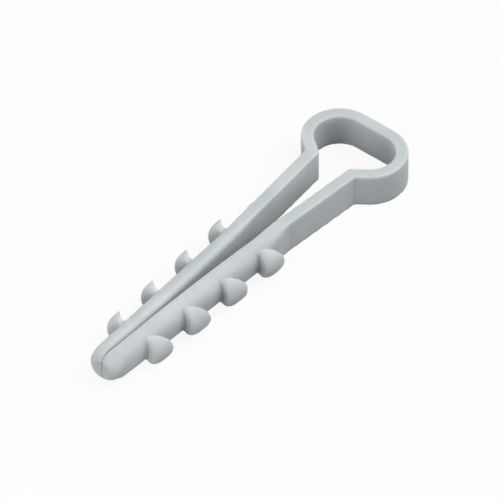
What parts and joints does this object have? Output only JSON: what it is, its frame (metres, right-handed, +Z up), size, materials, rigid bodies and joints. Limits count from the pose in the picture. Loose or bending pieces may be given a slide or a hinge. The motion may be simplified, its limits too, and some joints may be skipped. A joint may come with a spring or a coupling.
{
  "type": "push-in cable clip",
  "caption": "One-piece plastic push-in clip for flat cable: a loop head on two barbed half-round legs that press together into a drilled hole.",
  "frame": {"origin": "middle of the underside of the box around the clip, which lies on the edge of its strip", "axes": "+X along the plug towards the loop head, +Y across the two legs, +Z up along the strip's height"},
  "size_m": [0.0476, 0.0126, 0.0042],
  "materials": {
    "moulded_nylon": "satin as moulded"
  },
  "bodies": {
    "root": {"cable_clip": "moulded_nylon"}
  },
  "joints": []
}
